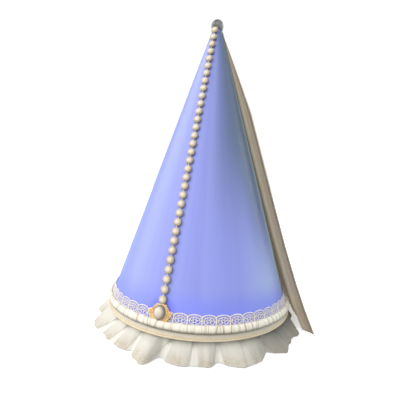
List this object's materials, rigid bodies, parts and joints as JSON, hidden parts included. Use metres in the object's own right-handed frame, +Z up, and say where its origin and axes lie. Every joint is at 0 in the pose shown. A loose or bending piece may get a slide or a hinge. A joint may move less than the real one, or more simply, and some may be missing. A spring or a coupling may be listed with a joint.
{
  "type": "princess hat",
  "caption": "Tall cone-shaped princess hat with a pearl string, oval brooch, lace edge, ruched roll, gathered ruffle and a back veil hanging from the tip.",
  "frame": {"origin": "middle of the hat's bounding box at the level of the hems that it stands on", "axes": "+Z up along the cone, front with the pearls and brooch facing -Y, veil at +Y, +X to the right seen from the front"},
  "size_m": [0.239, 0.2312, 0.3144],
  "materials": {
    "blue_satin": "smooth periwinkle satin over a stiff cone",
    "grey_metal": "dull silver-grey ball",
    "pearl": "lustrous cream imitation pearl",
    "gilt_filigree": "bright gilt filigree",
    "brooch_pearl": "lustrous cream imitation pearl",
    "cream_lace": "matt cotton lace",
    "cream_satin": "soft ruched satin",
    "beige_satin": "ribbed satin ribbon",
    "tan_cord": "golden tan twisted cord",
    "ivory_cotton": "matt gathered cotton with a worked border",
    "ivory_voile": "soft ivory voile with a silky sheen"
  },
  "bodies": {
    "root": {"crown_cone": "blue_satin", "ball_finial": "grey_metal", "brooch_plate": "gilt_filigree", "brooch_pearl": "brooch_pearl", "lace_trim": "cream_lace", "ruched_roll": "cream_satin", "facing_band": "beige_satin", "edge_cord": "tan_cord", "ruffle": "ivory_cotton", "veil": "ivory_voile", "pearl_01": "pearl", "pearl_02": "pearl", "pearl_03": "pearl", "pearl_04": "pearl", "pearl_05": "pearl", "pearl_06": "pearl", "pearl_07": "pearl", "pearl_08": "pearl", "pearl_09": "pearl", "pearl_10": "pearl", "pearl_11": "pearl", "pearl_12": "pearl", "pearl_13": "pearl", "pearl_14": "pearl", "pearl_15": "pearl", "pearl_16": "pearl", "pearl_17": "pearl", "pearl_18": "pearl", "pearl_19": "pearl", "pearl_20": "pearl", "pearl_21": "pearl", "pearl_22": "pearl", "pearl_23": "pearl", "pearl_24": "pearl", "pearl_25": "pearl", "pearl_26": "pearl", "pearl_27": "pearl", "pearl_28": "pearl", "pearl_29": "pearl", "pearl_30": "pearl", "pearl_31": "pearl", "pearl_32": "pearl", "pearl_33": "pearl"}
  },
  "joints": []
}
